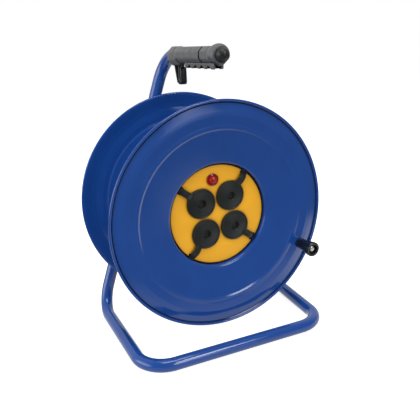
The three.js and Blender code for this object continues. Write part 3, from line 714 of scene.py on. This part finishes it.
def flanges():
    """The front flange has a lipped opening for the panel, the rear one a hole for the hub's sleeve."""
    slope = math.degrees(math.atan2(RIB_S - FLAT_S, RIB_R - CONE_FOOT_R))
    centre = (MOUTH_R + LIP_R, FLAT_S - LIP_R)
    lip = arc(centre, LIP_R, 180, 90 + slope, 12)
    lip_back = arc(centre, LIP_R - SHEET, 90 + slope, 180, 10)
    front = flange([(MOUTH_R, LIP_S)] + lip, lip_back + [(MOUTH_R + SHEET, LIP_S)], BEAD_S)
    piece("front_flange_sheet", turned(front, 240), DRUM, PAINT, "drum", ["front_flange"], sharp=25)
    hole = SLEEVE_R + 0.3
    outer = [(hole, FLAT_S), (CONE_FOOT_R, FLAT_S, 6)]
    inner = [(CONE_FOOT_R, FLAT_S - SHEET, 6), (hole, FLAT_S - SHEET)]
    rear = flange(outer, inner, CREASE_S - SHEET + BEAD_R)
    mirrored = turned([(r, -s) for r, s in rear], 240)
    piece("rear_flange_sheet", mirrored, DRUM, PAINT, "drum", ["rear_flange"], sharp=25)


def drum_core():
    """The cord's cylinder, with a lip at each end that lies against the inside of a flange."""
    thick = 1.5
    radii = (CORE_R, CORE_LIP_R, CORE_R - thick)
    outer_s, lip_s, inner_s = [cone_s(r) - SHEET - 0.3 for r in radii]
    half = [(CORE_R, outer_s, 1.5), (CORE_LIP_R, lip_s), (CORE_LIP_R, lip_s - thick),
            (CORE_R - thick, inner_s - thick, 0.8)]
    mirrored = [(r, -s, *fillet) for r, s, *fillet in reversed(half)]
    cylinder = turned(rounded(half + mirrored, closed=True), 160)
    piece("core_cylinder", cylinder, DRUM, PAINT, "drum", ["drum_core"])


def cable_gland():
    """A gland that stands out of the core along a radius: a flange nut with six flats, and a dome."""
    outward = Matrix.Translation((0, -GLAND_S, 0)) @ Matrix.Rotation(math.pi / 2, 4, "Z")
    bore, foot, top = 5, CORE_R + 0.4, CORE_R + 4.4
    nut = rounded([(bore, foot), (11, foot, 0.4), (11, top, 0.6), (bore, top)], closed=True)
    dome = rounded([(bore, top - 0.2), (9.6, top - 0.2), (9.4, top + 2.6, 1.5), (7.4, top + 4.6, 1),
                    (bore, top + 4.6, 0.6), (bore - 0.4, top + 1.6)], closed=True)
    throat = [(bore, CORE_R - 15), (8, CORE_R - 15), (8, foot + 0.1), (bore, foot + 0.1)]
    gland = merged(turned(nut, 6), turned(dome, 48), turned(throat, 48))
    piece("gland_body", gland, on_drum(0, GLAND_ANGLE) @ outward, BLACK, "drum", ["cable_gland"])


def socket_panel():
    """A round plate with a hole for each socket and the lamp, and a notch in its edge for each strap."""
    half_notch = math.asin((STRAP_WIDTH / 2 + 0.7) / PANEL_R)
    steps = 40
    sweep = math.pi / 2 - 2 * half_notch
    outline = []
    for angle in SOCKET_ANGLES:
        foot = polar(NOTCH_FOOT_R, angle)
        side = polar(NOTCH_FOOT_HALF, angle + math.pi / 2)
        outline += [polar(PANEL_R, angle - half_notch), foot - side, foot + side]
        outline += [polar(PANEL_R, angle + half_notch + sweep * k / steps) for k in range(steps)]
    holes = [[polar(SOCKET_RING_R, angle) + Vector(point) for point in circle(SOCKET_HOLE_R, 64)]
             for angle in SOCKET_ANGLES]
    holes.append([polar(LAMP_RING_R, LAMP_ANGLE) + Vector(point) for point in circle(LAMP_HOLE_R, 40)])
    panel = plate([outline] + holes, PANEL_BACK_S, PANEL_S, 0.5)
    piece("panel_face", panel, DRUM, YELLOW, "drum", ["socket_panel"])


def plate(outlines, back, front, bevel):
    """A flat plate facing the front: the first outline is its edge, the others are holes."""
    curve = bpy.data.curves.new("plate", "CURVE")
    curve.dimensions = "2D"
    curve.fill_mode = "BOTH"
    curve.extrude = (front - back) / 2 - bevel
    curve.bevel_depth = bevel
    curve.bevel_resolution = 2
    curve.offset = -bevel
    for outline in outlines:
        spline = curve.splines.new("POLY")
        spline.points.add(len(outline) - 1)
        for point, (x, z) in zip(spline.points, outline):
            point.co = (x, z, 0, 1)
        spline.use_cyclic_u = True
    holder = bpy.data.objects.new("plate", curve)
    bm = bmesh.new()
    mesh = bpy.data.meshes.new_from_object(holder)
    bm.from_mesh(mesh)
    bpy.data.objects.remove(holder)
    bpy.data.meshes.remove(mesh)
    bmesh.ops.remove_doubles(bm, verts=bm.verts, dist=1e-4)
    bm.transform(Matrix.Translation((0, -(front + back) / 2, 0)) @ Matrix.Rotation(math.pi / 2, 4, "X"))
    return bm


def socket_cover(name, angle, body, node):
    """A dished rubber cap with a dimple, and the arched strap that holds it to the panel's edge."""
    seat = PANEL_S + 0.4
    plug = PANEL_S - 5.2
    profile = rounded([
        (0, plug), (17.7, plug), (18.3, plug + 0.6, 0.4), (18.3, seat, 0.3), (COVER_R, seat, 0.3),
        (COVER_R, seat + 2.3, 0.6), (COVER_R - 1.6, seat + 2.7, 0.4),
        (COVER_R - 2.4, seat + 1.8, 0.5), (13, seat + 3.2, 9), (6.4, seat + 4.3, 1.2),
        (4.8, seat - 0.3, 0.8), (0, seat - 0.7)])
    cap = moved(turned(profile, 96), x=SOCKET_RING_R)
    piece(name, merged(cap, arched_strap()), on_drum(0, angle), RUBBER, body, [node])


def arched_strap():
    """A band along X from the cap's edge to the hinge, humped over the panel, with a raised middle."""
    stations = []
    steps = 24
    for k in range(steps + 1):
        t = k / steps
        x = STRAP_START_R + (STRAP_END_R - STRAP_START_R) * t
        hump = math.sin(math.pi * min(1, t * 1.12)) ** 0.9 if t < 0.89 else 0
        stations.append((x, STRAP_S + STRAP_HUMP * hump - STRAP_FALL * t))
    half = STRAP_WIDTH / 2
    section = [(-half, -0.9), (half, -0.9), (half, 0.5), (half - 1.3, 0.5), (half - 1.7, 1.2),
               (1.7 - half, 1.2), (1.3 - half, 0.5), (-half, 0.5)]
    section = rounded([(a, b, 0.3) for a, b in section], closed=True, step=30)
    loops = []
    for i, (x, s) in enumerate(stations):
        before = stations[max(0, i - 1)]
        after = stations[min(len(stations) - 1, i + 1)]
        along = Vector((after[0] - before[0], after[1] - before[1])).normalized()
        loops.append([(x - along.y * b, -(s + along.x * b), a) for a, b in section])
    return loft(loops, capped=True)


def lamp():
    """A collar that lies on the panel, and a glassy dome in it."""
    seat = PANEL_S + 0.3
    root = PANEL_S - 2.4
    stem = LAMP_HOLE_R - 0.4
    profile = rounded([
        (0, root), (stem, root), (stem, seat), (LAMP_R, seat, 0.3), (LAMP_R, seat + 1.4, 0.5),
        (LAMP_R - 1.2, seat + 2.1, 0.4), (DOME_R + 0.1, seat + 1.5)])
    dome = arc((0, seat + 0.2), DOME_R, 12, 84, 16)
    lens = turned(profile + dome + [(0, seat + 0.2 + DOME_R)], 64)
    piece("lamp_dome", lens, on_drum(LAMP_RING_R, LAMP_ANGLE), RED, "drum", ["lamp_lens"])


def crank():
    """A flared knob with a deep end, on a bolt and a washer."""
    end = CRANK_BASE_S + CRANK_LENGTH
    place = on_drum(CRANK_RING_R, CRANK_ANGLE)
    knob = rounded([
        (3.3, CRANK_BASE_S), (CRANK_BASE_R, CRANK_BASE_S, 0.5), (8.2, CRANK_BASE_S + 2, 0.5),
        (8.3, CRANK_BASE_S + 12, 8), (CRANK_END_R - 1, end - 10, 8), (CRANK_END_R, end - 5, 3),
        (CRANK_END_R, end - 0.8, 0.8), (CRANK_END_R - 1.6, end, 0.7), (7.6, end - 0.3, 0.5),
        (7.2, end - 6), (3.3, end - 6)], closed=True)
    piece("knob_body", turned(knob, 72), place, BLACK, "crank", ["crank_knob"])
    root = CRANK_BASE_S - 16.4
    bolt = rounded([
        (0, root), (2.8, root, 0.4), (2.8, end - 5.7), (4.6, end - 5.7, 0.3), (4.6, end - 3.6, 0.8),
        (3.2, end - 2.6, 0.6), (0, end - 2.4)])
    piece("knob_bolt", turned(bolt, 48), place, ZINC, "drum", ["crank_bolt"])
    seat = CRANK_BASE_S - 0.3
    washer = rounded([
        (3.3, seat - 1.4), (6.9, seat - 1.4, 0.3), (6.9, seat, 0.3), (3.3, seat)], closed=True)
    piece("knob_washer", turned(washer, 48), place, ZINC, "drum", ["crank_washer"])


# ---- stage ----
CAMERA_PLACE = (-0.33609, -0.74885, 0.43529)
CAMERA_YAW = math.radians(24.79)
CAMERA_PITCH = math.radians(16.95)
CAMERA_ROLL = math.radians(2.47)
FOCAL_PIXELS = 550.445
IMAGE_PIXELS = 420

FLOOR_HALF = 4

# The floor changes with the distance from a place. A reach is where the change starts and where it
# ends, in metres, and the pair below it is the level before the change and the level after it.
BRIGHT_FLOOR_PLACE = (0.1, 0.35, 0)
FLOOR_REACH = (0.72, 1.0)
FLOOR_GLOW = (0.82, 1.0)
FLOOR_SHADE = (0.7, 0.25)
MIRROR_FLOOR_PLACE = (0.16, 0.45, 0)
MIRROR_FLOOR_REACH = (0.62, 0.8)
MIRROR_FLOOR = (1.05, 0.22)
MIRROR_PATCH_PLACE = (0.38, -0.26, 0)
MIRROR_PATCH_REACH = (0.1, 0.26)
MIRROR_PATCH = (1.3, 0)

# The room has one level where it lights the reel. In reflections it turns from a level in front to a
# level behind, with soft glows in it.
ROOM_COLOR = (0.95, 0.97, 1.0)
ROOM_LEVEL = 0.8
ROOM_TURN = (-0.5, 0.5)
MIRROR_ROOM = (0.25, 0.9)
MIRROR_GLOWS = (
    # direction, degrees from it to where the glow fades and to where it ends, level
    ((0.33, -0.68, 0.65), 3, 8, 16.0),
    ((0.22, -0.87, 0.44), 4, 10, 9.0),
    ((0.30, -0.94, 0.16), 3, 12, 1.8),
    ((-0.99, 0.05, 0.10), 10, 36, 3.8),
)
WHITE = (1, 1, 1, 1)


def camera():
    data = bpy.data.cameras.new("camera")
    data.sensor_width = 36
    data.lens = FOCAL_PIXELS / IMAGE_PIXELS * data.sensor_width
    thing = bpy.data.objects.new("camera", data)
    turn = (Matrix.Rotation(-CAMERA_YAW, 4, "Z") @ Matrix.Rotation(math.pi / 2 - CAMERA_PITCH, 4, "X")
            @ Matrix.Rotation(-CAMERA_ROLL, 4, "Z"))
    thing.matrix_world = Matrix.Translation(CAMERA_PLACE) @ turn
    bpy.context.scene.collection.objects.link(thing)
    bpy.context.scene.camera = thing


def area_light(name, place, target, size, power):
    data = bpy.data.lights.new(name, "AREA")
    data.shape = "RECTANGLE"
    data.size, data.size_y = size
    data.energy = power
    thing = bpy.data.objects.new(name, data)
    thing.location = place
    thing.rotation_euler = (Vector(target) - Vector(place)).to_track_quat("-Z", "Y").to_euler()
    bpy.context.scene.collection.objects.link(thing)
    return thing


def floor_material():
    """Matt white, with a glow for the camera. Reflections see it bright round the reel, dark further
    to the front, and with a bright patch on the right."""
    material = bpy.data.materials.new("floor")
    material.use_nodes = True
    tree = material.node_tree
    place = add_node(tree, "TexCoord").outputs["Object"]
    path = add_node(tree, "LightPath").outputs

    def by_distance(centre, reach, levels):
        distance = add_node(tree, "VectorMath", {0: place, 1: centre}, operation="DISTANCE")
        return ramp(tree, distance.outputs["Value"], reach, levels)

    glow = add_node(tree, "Math", {
        0: path["Is Camera Ray"],
        1: by_distance(BRIGHT_FLOOR_PLACE, FLOOR_REACH, FLOOR_GLOW)}, operation="MULTIPLY")
    shader = tree.nodes["Principled BSDF"]
    shader.inputs["Roughness"].default_value = 0.9
    shader.inputs["Specular IOR Level"].default_value = 0
    shader.inputs["Emission Color"].default_value = WHITE
    tree.links.new(glow.outputs[0], shader.inputs["Emission Strength"])
    tree.links.new(by_distance(BRIGHT_FLOOR_PLACE, FLOOR_REACH, FLOOR_SHADE),
                   shader.inputs["Base Color"])
    level = add_node(tree, "Math", {
        0: by_distance(MIRROR_FLOOR_PLACE, MIRROR_FLOOR_REACH, MIRROR_FLOOR),
        1: by_distance(MIRROR_PATCH_PLACE, MIRROR_PATCH_REACH, MIRROR_PATCH)})
    mirrored = add_node(tree, "Emission", {"Strength": level.outputs[0]})
    seen = add_node(tree, "MixShader", {
        "Fac": path["Is Glossy Ray"], 1: shader.outputs[0], 2: mirrored.outputs[0]})
    tree.links.new(seen.outputs[0], tree.nodes["Material Output"].inputs["Surface"])
    return material


def floor():
    bm = bmesh.new()
    bmesh.ops.create_grid(bm, x_segments=1, y_segments=1, size=FLOOR_HALF)
    mesh = bpy.data.meshes.new("floor")
    bm.to_mesh(mesh)
    bm.free()
    mesh.materials.append(floor_material())
    thing = bpy.data.objects.new("floor", mesh)
    bpy.context.scene.collection.objects.link(thing)


def world():
    """A white backdrop for the camera and a pale room for the reel, darker in front in reflections."""
    scene_world = bpy.data.worlds.new("room")
    bpy.context.scene.world = scene_world
    scene_world.use_nodes = True
    tree = scene_world.node_tree
    tree.nodes.clear()
    ray = add_node(tree, "TexCoord").outputs["Generated"]
    path = add_node(tree, "LightPath").outputs

    def along(direction, reach, levels):
        """A level that follows how much a ray goes along a direction."""
        inputs = {0: ray, 1: Vector(direction).normalized()}
        dot = add_node(tree, "VectorMath", inputs, operation="DOT_PRODUCT")
        return ramp(tree, dot.outputs["Value"], reach, levels, interpolation_type="SMOOTHSTEP")

    def background(level, color=(*ROOM_COLOR, 1)):
        return add_node(tree, "Background", {"Color": color, "Strength": level}).outputs[0]

    def either(chance, first, second):
        return add_node(tree, "MixShader", {"Fac": chance, 1: first, 2: second}).outputs[0]

    level = along((0, 1, 0), ROOM_TURN, MIRROR_ROOM)
    for direction, fades, ends, strength in MIRROR_GLOWS:
        reach = (math.cos(math.radians(ends)), math.cos(math.radians(fades)))
        glow = along(direction, reach, (0, strength))
        level = add_node(tree, "Math", {0: level, 1: glow}).outputs[0]
    lit = either(path["Is Glossy Ray"], background(ROOM_LEVEL), background(level))
    seen = either(path["Is Camera Ray"], lit, background(1, WHITE))
    add_node(tree, "OutputWorld", {"Surface": seen})


def lights():
    """Soft light from above, from the left and from the front."""
    area_light("top", (0, -0.5, 2), (0, 0, 0.1), (1.1, 0.7), 14)
    for name, place, size, power in (
            ("left", (-1.7, -0.5, 0.8), (1.1, 1.5), 13),
            ("front", (-0.2, -2.4, 1.0), (2.6, 2.0), 11)):
        area_light(name, place, (0, 0, 0.2), size, power).visible_glossy = False


camera()
floor()
world()
lights()
finish_cad_nodes()
frame_tube()
grips()
finger_rail()
cable_hook()
spindle()
flanges()
drum_core()
cable_gland()
socket_panel()
for number, angle in enumerate(SOCKET_ANGLES, 1):
    socket_cover(f"rubber_cover_{number}", angle, f"cover_{number}", f"socket_cover_{number}")
lamp()
crank()

bpy.context.scene.view_settings.view_transform = "Standard"
